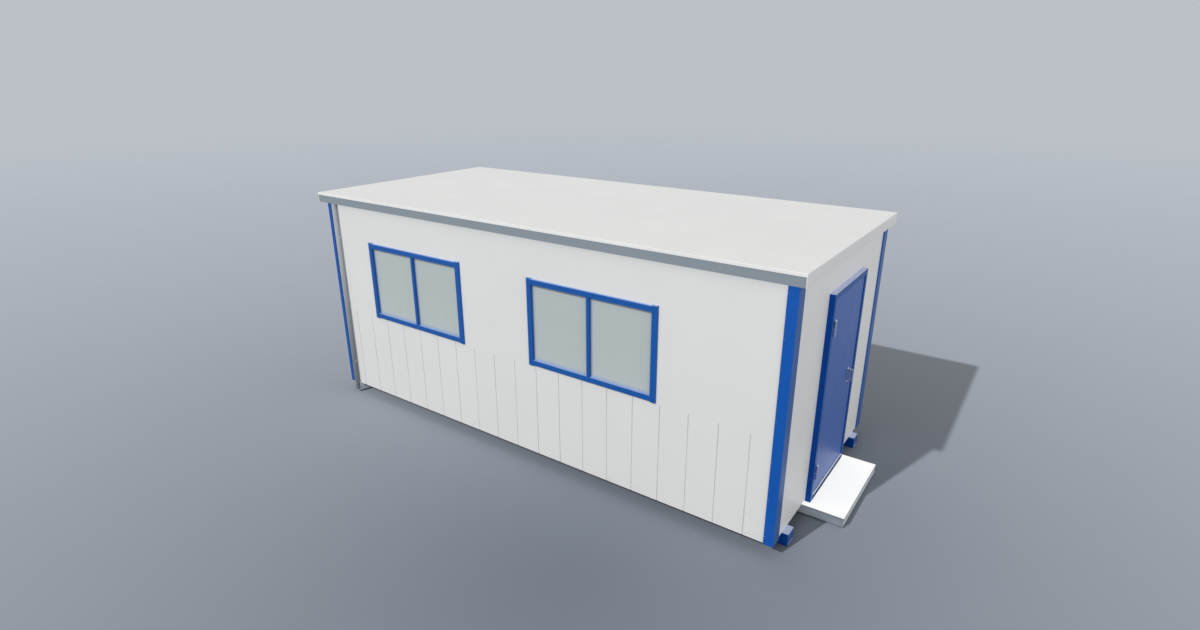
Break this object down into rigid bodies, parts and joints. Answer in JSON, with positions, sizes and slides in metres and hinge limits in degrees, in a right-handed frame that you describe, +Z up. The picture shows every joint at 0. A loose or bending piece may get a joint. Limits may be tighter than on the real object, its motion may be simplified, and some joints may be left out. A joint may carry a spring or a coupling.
{
  "type": "portable site cabin",
  "caption": "Portable site cabin on steel skids, with flat overhanging roof, blue corner posts, wide two-light windows and an outward opening door with a step.",
  "frame": {"origin": "on the ground, in the plane of the skids' undersides, under the middle of the whole outline: along X half way from the roof's left edge to the front of the step, along Y half way between the two eaves", "axes": "+X along the cabin to the door end, +Y to the back, +Z up"},
  "size_m": [6.342, 2.742, 2.605],
  "materials": {
    "white_steel": "satin",
    "roof_sheet": "satin",
    "grey_steel": "satin",
    "blue_steel": "satin",
    "insulated_panel": "matte",
    "ceiling_board": "matte",
    "floor_board": "matte",
    "joist_steel": "matte",
    "blue_window": "satin",
    "window_glass": "clear",
    "plated_steel": "satin",
    "step_concrete": "matte",
    "step_top": "satin"
  },
  "bodies": {
    "root": {"back_cladding": "white_steel", "back_wall": "insulated_panel", "back_window_glass": "window_glass", "ceiling": "ceiling_board", "door_frame": "blue_steel", "door_sill": "blue_steel", "downpipe_back": "grey_steel", "downpipe_front": "grey_steel", "eaves_gutter_back": "grey_steel", "eaves_gutter_front": "grey_steel", "floor_deck": "floor_board", "floor_joists": "joist_steel", "front_cladding": "white_steel", "front_wall": "insulated_panel", "front_window_glass": "window_glass", "hinge_frame_side": "plated_steel", "left_cladding": "white_steel", "left_end_wall": "insulated_panel", "post_back_left": "blue_steel", "post_back_right": "blue_steel", "post_front_left": "blue_steel", "post_front_right": "blue_steel", "right_cladding": "white_steel", "right_wall_back": "insulated_panel", "right_wall_front": "insulated_panel", "right_wall_over_door": "insulated_panel", "roof_cap": "roof_sheet", "roof_panel": "insulated_panel", "skid_back": "blue_steel", "skid_front": "blue_steel", "step_base": "step_concrete", "step_tread": "step_top", "verge_trims": "white_steel", "window_back_left_frame": "blue_window", "window_back_left_sashes": "blue_window", "window_back_right_frame": "blue_window", "window_back_right_sashes": "blue_window", "window_front_left_frame": "blue_window", "window_front_left_sashes": "blue_window", "window_front_right_frame": "blue_window", "window_front_right_sashes": "blue_window"},
    "door": {"door_leaf": "blue_steel", "door_handle": "plated_steel", "hinge_door_side": "plated_steel"}
  },
  "joints": [
    {"name": "door_hinge", "type": "hinge", "parent": "root", "child": "door", "pos_m": [2.841, -0.43, 0.416], "axis": [0, 0, -1], "range_deg": [0, 105]}
  ]
}
